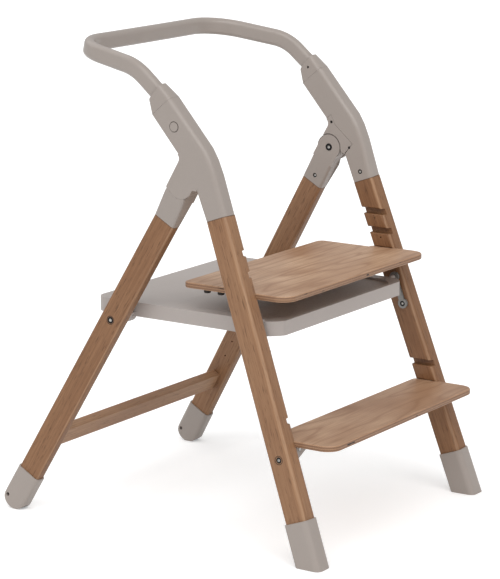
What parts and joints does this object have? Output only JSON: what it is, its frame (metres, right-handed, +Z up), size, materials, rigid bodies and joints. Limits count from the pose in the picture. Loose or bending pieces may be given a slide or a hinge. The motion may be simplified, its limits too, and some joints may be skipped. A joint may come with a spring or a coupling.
{
  "type": "folding high chair",
  "caption": "Wooden high chair and standing tower: two folding leg frames under moulded brackets, a wrap-round rail, a seat board, a footrest and a moulded platform.",
  "frame": {"origin": "middle of the footprint, on the floor", "axes": "+Z up, -Y to the front, where the seat and the footrest reach out; -X to the chair's side that is nearer in the picture"},
  "size_m": [0.611, 0.7116, 0.9029],
  "materials": {
    "moulded_plastic": "satin warm grey moulding",
    "platform_plastic": "satin warm grey moulding, slightly paler",
    "leg_wood": "oiled brown wood, straight grain along the leg",
    "board_plywood": "oiled plywood, plies seen on the edges",
    "screw_steel": "zinc plated",
    "dark_steel": "black",
    "spring_steel": "bright wire",
    "soft_rubber": "dull"
  },
  "bodies": {
    "front_frame": {"bracket_right": "moulded_plastic", "bracket_left": "moulded_plastic", "hinge_cover_right": "moulded_plastic", "hinge_cover_left": "moulded_plastic", "cover_screw_upper_right": "screw_steel", "cover_screw_upper_left": "screw_steel", "cover_screw_lower_right": "screw_steel", "cover_screw_lower_left": "screw_steel", "hinge_bolt_right": "dark_steel", "hinge_bolt_left": "dark_steel", "leg_socket_screw_right": "screw_steel", "leg_socket_screw_left": "screw_steel", "front_leg_right": "leg_wood", "front_leg_left": "leg_wood", "front_foot_cap_right": "moulded_plastic", "front_foot_cap_left": "moulded_plastic", "platform_hook_right": "screw_steel", "platform_hook_left": "screw_steel", "hook_screw_right": "screw_steel", "hook_screw_left": "screw_steel", "footrest_clamp_right": "moulded_plastic", "footrest_clamp_left": "moulded_plastic", "footrest_bolt_right": "screw_steel", "footrest_bolt_left": "screw_steel"},
    "rear_frame": {"rear_leg_cap_right": "moulded_plastic", "rear_leg_cap_left": "moulded_plastic", "rear_cap_screw_right": "screw_steel", "rear_cap_screw_left": "screw_steel", "rear_leg_right": "leg_wood", "rear_leg_left": "leg_wood", "rear_foot_cap_right": "moulded_plastic", "rear_foot_cap_left": "moulded_plastic", "rear_foot_pad_right": "soft_rubber", "rear_foot_pad_left": "soft_rubber", "crossbar": "leg_wood", "platform_bolt_right": "screw_steel", "platform_bolt_left": "screw_steel"},
    "platform": {"platform": "platform_plastic"},
    "rail": {"rail": "moulded_plastic", "rail_socket_right": "moulded_plastic", "rail_socket_left": "moulded_plastic", "rail_socket_screw_right": "screw_steel", "rail_socket_screw_left": "screw_steel"},
    "button_right": {"release_button_right": "moulded_plastic", "button_spring_right": "spring_steel"},
    "button_left": {"release_button_left": "moulded_plastic", "button_spring_left": "spring_steel"},
    "seat": {"seat_board": "board_plywood", "seat_knob_front_right": "soft_rubber", "seat_knob_front_left": "soft_rubber", "seat_knob_rear_right": "soft_rubber", "seat_knob_rear_left": "soft_rubber"},
    "footrest": {"footrest_board": "board_plywood"}
  },
  "joints": [
    {"name": "fold", "type": "hinge", "parent": "front_frame", "child": "rear_frame", "pos_m": [0, -0.03433, 0.661], "axis": [-1, 0, 0], "range_deg": [0, 49]},
    {"name": "platform_level", "type": "hinge", "parent": "rear_frame", "child": "platform", "pos_m": [0, 0.11973, 0.392], "axis": [1, 0, 0], "range_deg": [0, 49]},
    {"name": "rail_lift", "type": "slide", "parent": "front_frame", "child": "rail", "axis": [0, 0.6508, 0.7593], "range_m": [0, 0.06]},
    {"name": "button_press_right", "type": "slide", "parent": "front_frame", "child": "button_right", "axis": [-1, 0, 0], "range_m": [0, 0.004], "stiffness_N_per_m": 400, "springref_m": -0.002},
    {"name": "button_press_left", "type": "slide", "parent": "front_frame", "child": "button_left", "axis": [1, 0, 0], "range_m": [0, 0.004], "stiffness_N_per_m": 400, "springref_m": -0.002},
    {"name": "seat_slide", "type": "slide", "parent": "front_frame", "child": "seat", "axis": [0, -1, 0], "range_m": [0, 0.04]},
    {"name": "footrest_slide", "type": "slide", "parent": "front_frame", "child": "footrest", "axis": [0, -1, 0], "range_m": [0, 0.03]}
  ],
  "couplings": [
    {"joint": "platform_level", "follows": "fold", "ratio": 1}
  ]
}
